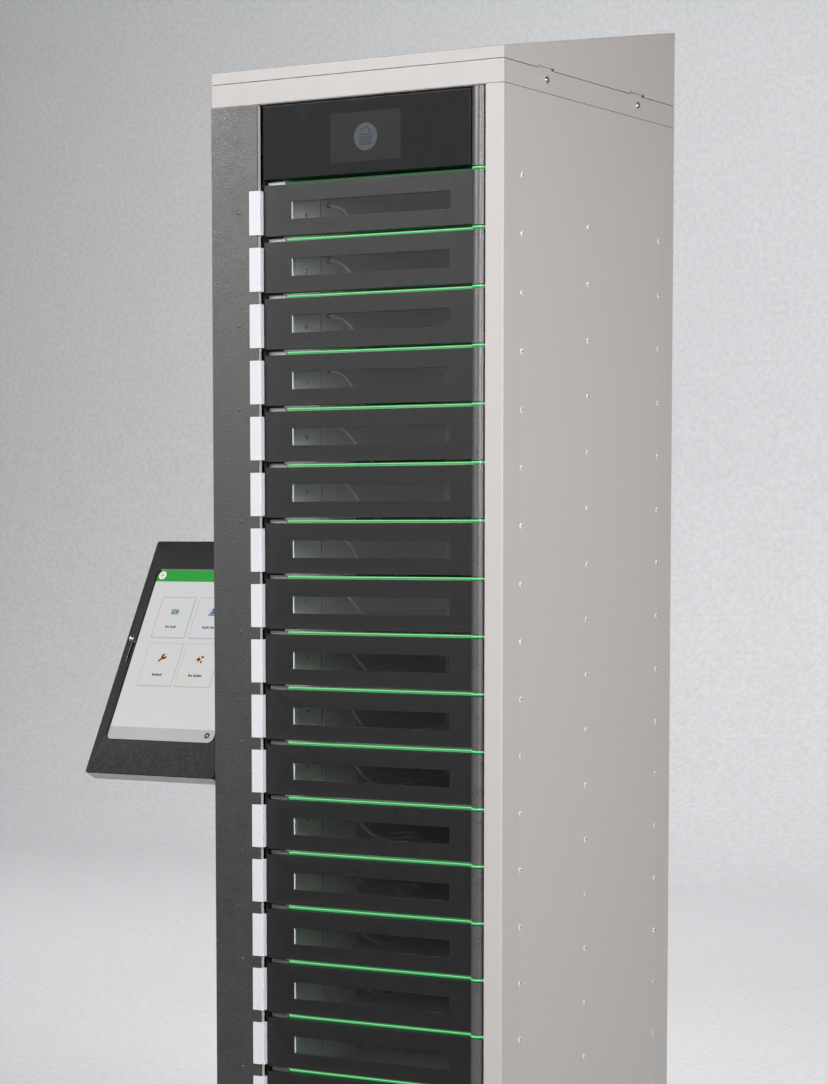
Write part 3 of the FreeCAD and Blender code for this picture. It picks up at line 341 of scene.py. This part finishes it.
# Limits that tell a node's parts apart, in metres. Depths are from the front.
WINDOW_LEFT = -0.0915
PANE_X = (-0.0966, 0.1351)
PANE_FRONT = 0.0085
PANE_BACK = 0.0105
KEEPER_X = (-0.1297, -0.1277)
KEEPER_FRONT = 0.0094
BARREL_LEFT = HINGE.x - BARREL_R - 0.0002
TONGUE_LEFT = HINGE.x - 0.0107
UNLIT_GUIDE = line(0) - 0.005
RIVET_HEAD = SIDE + 0.0002
RIVET_FLOOR = SIDE + 0.0004
RETURN_DEPTH = 0.04
SHELF_LIP_RIGHT = -0.1055
SHELF_LIP_DEPTH = 0.0165
WALL_LEFT = -0.1197
NEAR = 0.00005


def door_face(centre, normal):
    """Which part of a door a face belongs to: 0 frame, 1 pane, 2 keeper, 3 barrel, 4 cut edge, painted
    near-white as a painted glint.
    """
    x = centre.x
    y = centre.y - FRONT
    if x > BARREL_LEFT:
        return 3
    if abs(x - WINDOW_LEFT) < NEAR and y < PANE_FRONT:
        return 4
    in_pane = PANE_FRONT - NEAR < y < PANE_BACK + NEAR and PANE_X[0] < x < PANE_X[1]
    frame_back = abs(y - PANE_FRONT) < NEAR and normal.y > 0.5
    if in_pane and not frame_back:
        return 1
    if KEEPER_X[0] < x < KEEPER_X[1] and y > KEEPER_FRONT:
        return 2
    return 0


def guide_face(centre, normal):
    """0 the lit front, 1 the top and underside, 2 the unlit guide below the control panel."""
    if centre.z > UNLIT_GUIDE and centre.x < TONGUE_LEFT:
        return 2
    return 1 if abs(normal.z) > 0.7 else 0


def rivet_face(centre, normal):
    """0 the painted dome, 1 the hollow in its middle, painted near-black as painted shade."""
    outside = centre.x > RIVET_HEAD
    floor = abs(centre.x - RIVET_FLOOR) < NEAR and normal.x > 0.9
    return 1 if outside and (abs(normal.x) < 0.2 or floor) else 0


def stile_face(centre, normal):
    """0 the painted skin, 1 the stile's inner return, which only the barrels mirror, painted dark as
    painted shade.
    """
    return 1 if normal.x < -0.7 and centre.y < FRONT + RETURN_DEPTH else 0


def shelf_face(centre, normal):
    """0 the tray, 1 the steel lip at its left front corner."""
    return 1 if centre.x < SHELF_LIP_RIGHT and centre.y < FRONT + SHELF_LIP_DEPTH else 0


def case_face(centre, normal):
    """0 the tablet's case, 1 the edge below it, painted light as a painted reflection of the floor's light.
    """
    return 1 if normal.z < -0.8 and normal.y < -0.4 else 0


for n in range(1, BAYS + 1):
    paint(f"door_{n:02d}", CHARCOAL, GLASS, STEEL, BARREL_SHEEN, CUT_EDGE_GLINT, pick=door_face)
paint("panel_carrier", CHARCOAL, BARREL_SHEEN, pick=lambda centre, normal: int(centre.x > BARREL_LEFT))
paint("light_guides", GUIDE, GUIDE_SIDE, GUIDE_DIM, pick=guide_face)
paint("bay_shelves", TRAY_PAINTED_GLOW, LIP, pick=shelf_face)
paint("panel_rivets", RIVET_HIGHLIT, HOLLOW_SHADE, pick=rivet_face)
for name in ("tablet_tray", "tablet_bezel"):
    paint(name, TERMINAL, TERMINAL_EDGE_REFLECTION, pick=case_face)
# The stile's inner return takes the dark coat: painted shade, so the barrels mirror a dark face there.
paint("side_panel_right", SHELL, DARK, pick=stile_face)
# The bay wall's faces left of WALL_LEFT take the dark coat: painted shade in the hollow behind the wall.
paint("bay_wall", LINER, DARK, pick=lambda centre, normal: int(centre.x < WALL_LEFT))
soften("column_cover", 0.0003)
soften("panel_glass", 0.0003)


# ---------------------------------------------------------------- new pieces


def new_object(name, bm, materials, body, smooth=False):
    """Makes a piece from bm that rides on body."""
    mesh = bpy.data.meshes.new(name)
    bm.to_mesh(mesh)
    bm.free()
    for material in materials:
        mesh.materials.append(material)
    for polygon in mesh.polygons:
        polygon.use_smooth = smooth
    obj = bpy.data.objects.new(name, mesh)
    bpy.context.scene.collection.objects.link(obj)
    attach(obj, body)
    return obj


CABLE_D = 0.0035

# The cables' routes in mm: across, back from the front, up from the bay's line.
LIE = 0.75
PLUG_Z = 2.2
GLAND = (-115.2, 128, 53)
ROUTES = (
    (GLAND, (-101, 128.5, 51.5), (-91, 138, 41), (-87, 153, 25), (-84, 173, 10), (-80, 200, LIE),
     (-74, 234, LIE), (-71, 264, LIE), (-80, 291, LIE), (-99, 298, LIE), (-110, 279, LIE),
     (-108, 252, 1.05), (-100, 226, PLUG_Z)),
    (GLAND, (-101, 129, 51), (-94, 141, 39), (-93, 158, 21), (-96, 180, 6.5), (-101, 208, LIE),
     (-104, 240, LIE), (-101, 266, LIE), (-90, 284, LIE), (-72, 280, LIE), (-65.5, 258, 1.05),
     (-67, 228, PLUG_Z)),
    (GLAND, (-100.5, 128.5, 51), (-90, 137, 38.5), (-85.5, 152, 22), (-82, 173, 7.5), (-77.5, 200, LIE),
     (-75, 236, LIE), (-80, 274, LIE), (-94, 306, LIE), (-97, 342, 1.05), (-88, 374, PLUG_Z)),
)


def route(n):
    """The points of bay n's cable in the row's frame, from its gland to its plug."""
    points = ROUTES[n % 3]
    return [Vector((x / 1000, FRONT + y / 1000, line(n) + z / 1000)) for x, y, z in points]


def cable(n):
    """Bay n's charging lead, a limp cord that lies on the shelf."""
    points = route(n)
    curve = bpy.data.curves.new(f"cable_{n:02d}", "CURVE")
    curve.dimensions = "3D"
    curve.resolution_u = 10
    curve.bevel_depth = CABLE_D / 2
    curve.bevel_resolution = 4
    spline = curve.splines.new("NURBS")
    spline.points.add(len(points) - 1)
    for point, place in zip(spline.points, points):
        point.co = (*place, 1.0)
    spline.order_u = 3
    spline.use_endpoint_u = True
    curve.materials.append(CABLE)
    obj = bpy.data.objects.new(f"cable_{n:02d}", curve)
    bpy.context.scene.collection.objects.link(obj)
    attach(obj, "cabinet")
    return obj


def ring(bm, centre, across, up, half_w, half_t, corner, steps=4):
    """A rounded rectangle of vertices about centre, in the plane of across and up."""
    ring_verts = []
    for cx, cy, start in ((1, 1, 0), (-1, 1, 90), (-1, -1, 180), (1, -1, 270)):
        for i in range(steps + 1):
            angle = math.radians(start + 90 * i / steps)
            u = cx * (half_w - corner) + corner * math.cos(angle)
            v = cy * (half_t - corner) + corner * math.sin(angle)
            ring_verts.append(bm.verts.new(centre + across * u + up * v))
    return ring_verts


def loft(bm, rings, material=0):
    """A closed skin through rings with the same number of vertices."""
    for a, b in zip(rings, rings[1:]):
        for i in range(len(a)):
            j = (i + 1) % len(a)
            bm.faces.new((a[i], a[j], b[j], b[i])).material_index = material
    bm.faces.new(list(reversed(rings[0]))).material_index = material
    bm.faces.new(rings[-1]).material_index = material


def plug(n):
    """USB-C plug: strain relief, moulded grip and steel shell."""
    before, end = route(n)[-2:]
    along = end - before
    along.z = 0
    along.normalize()
    up = Vector((0, 0, 1))
    across = along.cross(up)
    bm = bmesh.new()

    def at(distance, half_w, half_t, corner):
        return ring(bm, end + along * distance, across, up, half_w, half_t, corner)

    loft(bm, [at(-0.0060, 0.0019, 0.0019, 0.0018), at(-0.0030, 0.0022, 0.0021, 0.0019),
              at(-0.0002, 0.0025, 0.0023, 0.0020), at(0.0008, 0.0048, 0.0030, 0.0022),
              at(0.0022, 0.0055, 0.0032, 0.0024), at(0.0100, 0.0053, 0.0031, 0.0024),
              at(0.0185, 0.0055, 0.0032, 0.0024), at(0.0200, 0.0050, 0.0028, 0.0022)])
    loft(bm, [at(0.0199, 0.00415, 0.00122, 0.0011), at(0.0262, 0.00415, 0.00122, 0.0011),
              at(0.0265, 0.0039, 0.0010, 0.0009)], 1)
    obj = new_object(f"cable_plug_{n:02d}", bm, [PLUG, STEEL], "cabinet", True)
    obj.data.set_sharp_from_angle(angle=math.radians(40))
    return obj


for n in range(1, BAYS + 1):
    tube = cable(n)
    end = plug(n)
    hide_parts("charge_cables")
    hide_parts("cable_plugs")


# ---------------------------------------------------------------- tablet screen

LEAN = math.radians(28.8)
CASE_CORNER = (-424, 20, 748)


def on_tablet(x, y, z):
    """A point of the leaning case: x across from its corner, y back from its face, z up it, in mm."""
    x0, y0, z0 = CASE_CORNER
    return Vector((
        (x0 + x) / 1000,
        FRONT + (y0 + y * math.cos(LEAN) + z * math.sin(LEAN)) / 1000,
        (z0 - y * math.sin(LEAN) + z * math.cos(LEAN)) / 1000,
    ))


def flat(bm, points, depth, material, place):
    """A flat patch over a closed outline of (x, z), at a depth from the face that it lies on."""
    verts = [bm.verts.new(place(x, depth, z)) for x, z in points]
    bm.faces.new(verts).material_index = material


def disc(x, z, radius, count=40):
    """Outline of a disc."""
    return [(x + radius * math.cos(2 * math.pi * i / count), z + radius * math.sin(2 * math.pi * i / count))
            for i in range(count)]


def arc(x, z, radius, start, end, count=11):
    """Points of an arc about (x, z), from start to end degrees."""
    angles = [math.radians(start + (end - start) * i / (count - 1)) for i in range(count)]
    return [(x + radius * math.cos(a), z + radius * math.sin(a)) for a in angles]


def rounded_rect(x0, x1, z0, z1, radius, steps=6):
    """Outline of a rectangle with round corners, from its right side and anticlockwise."""
    points = []
    for cx, cz, start in ((x1 - radius, z1 - radius, 0), (x0 + radius, z1 - radius, 90),
                          (x0 + radius, z0 + radius, 180), (x1 - radius, z0 + radius, 270)):
        for i in range(steps + 1):
            angle = math.radians(start + 90 * i / steps)
            points.append((cx + radius * math.cos(angle), cz + radius * math.sin(angle)))
    return points


def band(bm, outer, inner, depth, material, place):
    """A flat ring between two outlines with the same number of points."""
    a = [bm.verts.new(place(x, depth, z)) for x, z in outer]
    b = [bm.verts.new(place(x, depth, z)) for x, z in inner]
    for i in range(len(a)):
        j = (i + 1) % len(a)
        bm.faces.new((a[i], a[j], b[j], b[i])).material_index = material


TONES = {
    "screen_grey": (0.62, 0.62, 0.62),
    "screen_green": (0.024, 0.33, 0.045),
    "screen_bar": (0.45, 0.455, 0.45),
    "screen_white": (0.85, 0.86, 0.85),
    "line_green": (0.33, 0.42, 0.38),
    "line_blue": (0.33, 0.44, 0.62),
    "line_tan": (0.60, 0.45, 0.36),
    "line_orange": (0.62, 0.47, 0.33),
    "disc_cool": (0.56, 0.59, 0.63),
    "disc_warm": (0.72, 0.58, 0.50),
    "ink_green": (0.02, 0.19, 0.04),
    "ink_blue": (0.03, 0.09, 0.25),
    "ink_brown": (0.07, 0.03, 0.02),
    "ink_dark": (0.015, 0.02, 0.035),
    "tile_shadow": (0.47, 0.47, 0.47),
}
TONE = {name: index for index, name in enumerate(TONES)}

# The screen's picture, in mm. A patch that lies on another has a smaller depth.
SCREEN = (13.5, 185, 48, 298)
SCREEN_CORNER = 9
HEADER_FOOT = 280.6
FOOTER_TOP = 68.5
BADGE = (22.5, 289.6)
GEAR = (170, 60.5)
# Each tile: its sides, the tones of its edge, disc and ink, and the lengths of its caption's words.
TILES = (
    (34.5, 87.5, 198, 257.3, "line_green", "disc_cool", "ink_green", (3, 4)),
    (94, 148.5, 198, 257.3, "line_blue", "disc_cool", "ink_blue", (5, 3)),
    (35.5, 90, 128.3, 190.3, "line_tan", "disc_warm", "ink_brown", (7,)),
    (95.5, 151, 128.3, 190.3, "line_orange", "disc_warm", "ink_brown", (3, 6)),
)


def screen():
    """The terminal's picture: a green header, four tiles and a grey foot, each a flat patch."""
    bm = bmesh.new()
    place = on_tablet
    left, right = SCREEN[:2]
    corners = rounded_rect(*SCREEN, SCREEN_CORNER)
    flat(bm, corners, 3.95, TONE["screen_grey"], place)
    header = [(left, HEADER_FOOT), (right, HEADER_FOOT)] + [p for p in corners if p[1] > HEADER_FOOT]
    flat(bm, header, 3.90, TONE["screen_green"], place)
    footer = [(right, FOOTER_TOP), (left, FOOTER_TOP)] + [p for p in corners if p[1] < FOOTER_TOP]
    flat(bm, footer, 3.90, TONE["screen_bar"], place)
    flat(bm, disc(*BADGE, 5.8), 3.85, TONE["screen_white"], place)
    for k, width in enumerate((5.0, 6.2, 4.0)):
        z = BADGE[1] + 1.8 - 2.4 * k
        bar = rounded_rect(BADGE[0] - width / 2, BADGE[0] + width / 2, z, z + 1.0, 0.4)
        flat(bm, bar, 3.80, TONE["screen_green"], place)
    for kind, (x0, x1, z0, z1, edge, patch, ink, words) in enumerate(TILES):
        outline = rounded_rect(x0, x1, z0, z1, 2)
        shadow = rounded_rect(x0 - 0.2, x1 + 0.9, z0 - 1.1, z1 + 0.2, 2.2)
        inside = rounded_rect(x0 + 0.7, x1 - 0.7, z0 + 0.7, z1 - 0.7, 1.5)
        band(bm, shadow, outline, 3.89, TONE["tile_shadow"], place)
        band(bm, outline, inside, 3.88, TONE[edge], place)
        cx = (x0 + x1) / 2
        cz = z0 + (z1 - z0) * 0.64
        flat(bm, disc(cx, cz, 8.2), 3.87, TONE[patch], place)
        icon(bm, kind, cx, cz, TONE[ink], place)
        caption(bm, cx, z0 + 14.2, words, TONE[ink], place)
    gear(bm, *GEAR, place)
    tones = [lit(name, colour) for name, colour in TONES.items()]
    new_object("tablet_screen", bm, tones, "tablet_head")


def caption(bm, x, z, words, ink, place):
    """Rows of short pills that stand for the words of a caption."""
    step = 2.2
    x -= (sum(words) + 0.7 * (len(words) - 1)) * step / 2
    for word in words:
        for k in range(word):
            high = 3.9 if k % 3 == 0 else 2.8
            flat(bm, rounded_rect(x, x + 1.7, z, z + high, 0.6), 3.86, ink, place)
            x += step
        x += 0.7 * step


def icon(bm, kind, x, z, ink, place):
    """Simple signs: a battery, a person at a desk, a spanner and three sparks."""
    if kind == 0:
        band(bm, rounded_rect(x - 5.6, x + 4.6, z - 3.4, z + 3.4, 1.0),
             rounded_rect(x - 4.2, x + 3.2, z - 2.0, z + 2.0, 0.4), 3.84, ink, place)
        flat(bm, rounded_rect(x + 4.9, x + 6.2, z - 1.5, z + 1.5, 0.4), 3.84, ink, place)
        for k in range(3):
            left = x - 3.6 + 2.4 * k
            flat(bm, rounded_rect(left, left + 1.7, z - 1.4, z + 1.4, 0.2), 3.84, ink, place)
    if kind == 1:
        flat(bm, disc(x, z + 3.4, 2.2, 20), 3.84, ink, place)
        body = [(-4.4, -1.8), (4.4, -1.8), (2.8, 0.9), (-2.8, 0.9)]
        flat(bm, [(x + i, z + j) for i, j in body], 3.84, ink, place)
        flat(bm, rounded_rect(x - 6.0, x + 6.0, z - 4.6, z - 2.7, 0.6), 3.84, ink, place)
    if kind == 2:
        handle = [(-5.2, -3.6), (-3.4, -5.2), (2.6, 0.8), (0.8, 2.6)]
        flat(bm, [(x + i, z + j) for i, j in handle], 3.84, ink, place)
        jaw = arc(x + 2.6, z + 2.6, 4.2, 80, 370)
        throat = arc(x + 3.2, z + 3.2, 1.5, 370, 80)
        flat(bm, jaw + throat, 3.83, ink, place)
    if kind == 3:
        for dx, dz, r in ((-2.0, -0.4, 3.9), (3.2, 3.2, 2.6), (2.8, -3.8, 2.3)):
            star = []
            for k in range(8):
                angle = math.pi * k / 4
                reach = r if k % 2 == 0 else r * 0.55
                star.append((x + dx + reach * math.cos(angle), z + dz + reach * math.sin(angle)))
            flat(bm, star, 3.84, ink, place)


def gear(bm, x, z, place):
    """The settings sign at the foot of the screen."""
    outer = []
    inner = []
    for k in range(32):
        angle = 2 * math.pi * k / 32
        reach = 4.4 if (k // 2) % 2 == 0 else 3.6
        outer.append((x + reach * math.cos(angle), z + reach * math.sin(angle)))
        inner.append((x + 1.5 * math.cos(angle), z + 1.5 * math.sin(angle)))
    band(bm, outer, inner, 3.84, TONE["ink_dark"], place)


def contacts():
    """A row of small gilt contacts down the side of the notch, each a little block."""
    foot = ((9.2, 0.4), (10.0, 0.4), (10.0, 1.4), (9.2, 1.4))
    faces = ((0, 2, 3, 1), (2, 4, 5, 3), (4, 6, 7, 5), (6, 0, 1, 7), (0, 6, 4, 2), (1, 3, 5, 7))
    bm = bmesh.new()
    for k in range(14):
        z = 160.5 + 2.1 * k
        corners = [bm.verts.new(on_tablet(x, y, z + h)) for x, y in foot for h in (0.0, 1.2)]
        for face in faces:
            bm.faces.new([corners[i] for i in face])
    new_object("tablet_contacts", bm, [GOLD], "tablet_head")


screen()
contacts()


# ---------------------------------------------------------------- control panel display


def on_panel(x, y, z):
    """x from the middle, z up from the line below the panel, y back from the front; all in mm."""
    return Vector((x / 1000, FRONT + y / 1000, line(0) + z / 1000))


DISPLAY = (-36.0, 62.5, 18.0, 76.0)
DISPLAY_DISC = (13.9, 46.5)


def panel_display():
    """The dim display behind the control panel's glass: a disc with a padlock made of dots."""
    glow = [
        lit("display_glow", (0.0065, 0.0060, 0.0065)),
        lit("display_disc", (0.070, 0.080, 0.100)),
        lit("display_ink", (0.018, 0.019, 0.022)),
    ]
    bm = bmesh.new()
    cx, cz = DISPLAY_DISC
    flat(bm, rounded_rect(*DISPLAY, 1.0), 5.97, 0, on_panel)
    flat(bm, disc(cx, cz, 16.3, 48), 5.94, 1, on_panel)
    dots = [(-7.5 + 3.0 * i, -9.0 + 2.9 * k) for i in range(6) for k in range(5)]
    dots += [(5.6 * math.cos(math.radians(36 * i)), 6.0 + 4.8 * math.sin(math.radians(36 * i)))
             for i in range(6)]
    for x, z in dots:
        flat(bm, disc(cx + x, cz + z, 1.05, 12), 5.91, 2, on_panel)
    new_object("panel_display_image", bm, glow, "control_panel")


panel_display()


# ---------------------------------------------------------------- stage, light and camera


def stage():
    """A pale floor that curves up into a pale wall far behind the kiosk."""
    sweep = coated("sweep_pale", (0.72, 0.73, 0.745), 0.7, 60.0, 0.01, 0.01, 0.0001, 1.0)
    front = -9.0
    wall = 6.0
    top = 7.0
    half_width = 12.0
    bend = 1.5
    profile = [(front, 0.0), (wall - bend, 0.0)]
    for i in range(1, 13):
        angle = math.pi / 2 * i / 12
        profile.append((wall - bend + bend * math.sin(angle), bend - bend * math.cos(angle)))
    profile.append((wall, top))
    bm = bmesh.new()
    rows = [[bm.verts.new((x, y, z)) for x in (-half_width, half_width)] for y, z in profile]
    for a, b in zip(rows, rows[1:]):
        bm.faces.new((a[0], a[1], b[1], b[0])).smooth = True
    mesh = bpy.data.meshes.new("sweep")
    bm.to_mesh(mesh)
    bm.free()
    mesh.materials.append(sweep)
    obj = bpy.data.objects.new("sweep", mesh)
    bpy.context.scene.collection.objects.link(obj)


def softbox(name, place, target, width, height, power, spread, colour):
    """A rectangular light aimed at target. A small spread, in degrees, keeps its light together."""
    light = bpy.data.lights.new(name, "AREA")
    light.shape = "RECTANGLE"
    light.size = width
    light.size_y = height
    light.energy = power
    light.spread = math.radians(spread)
    light.color = colour
    obj = bpy.data.objects.new(name, light)
    bpy.context.scene.collection.objects.link(obj)
    obj.location = place
    obj.rotation_euler = (Vector(target) - Vector(place)).to_track_quat("-Z", "Y").to_euler()
    return obj


def world():
    """A faint, even fill."""
    background = bpy.data.worlds.new("studio")
    bpy.context.scene.world = background
    background.use_nodes = True
    shader = background.node_tree.nodes["Background"]
    shader.inputs["Color"].default_value = (0.88, 0.90, 0.93, 1.0)
    shader.inputs["Strength"].default_value = 0.10


def camera():
    """A long lens with its view shifted up, as when a tall cabinet is photographed upright."""
    yaw = math.radians(31.04)
    pitch = math.radians(4.97)
    lens = bpy.data.cameras.new("camera")
    lens.sensor_width = 36.0
    lens.lens = 95.493
    lens.shift_y = 0.22362
    obj = bpy.data.objects.new("camera", lens)
    bpy.context.scene.collection.objects.link(obj)
    obj.location = (1.8503, -2.934 + FRONT, 1.054)
    obj.rotation_euler = (math.pi / 2 - pitch, 0.0, yaw)
    bpy.context.scene.camera = obj


stage()
world()
camera()
softbox("key", (-2.3, -3.4, 3.1), (0.0, 0.0, 1.1), 2.2, 1.2, 26.5, 75, (1.0, 0.985, 0.97))
softbox("wall", (-3.2, -3.9, 1.92), (0.0, 0.0, 1.35), 5.0, 2.4, 4.8, 90, (0.93, 0.95, 1.0))
softbox("front", (1.15, -3.20, 1.75), (0.15, 0.0, 1.3), 0.6, 1.6, 5.0, 75, (1.0, 0.985, 0.97))
softbox("side", (2.66, -1.53, 1.85), (0.1, 0.0, 0.9), 1.3, 1.2, 23.5, 90, (1.0, 0.97, 0.94))
softbox("rear", (-1.6, 3.4, 2.4), (0.0, 0.0, 1.0), 1.6, 1.6, 14.0, 90, (1.0, 1.0, 1.0))
softbox("backdrop_light", (-1.5, 0.8, 4.6), (-3.2, 5.0, 0.6), 5.0, 2.0, 150.0, 120, (1.0, 1.0, 1.0))
bpy.context.scene.view_settings.view_transform = "Standard"
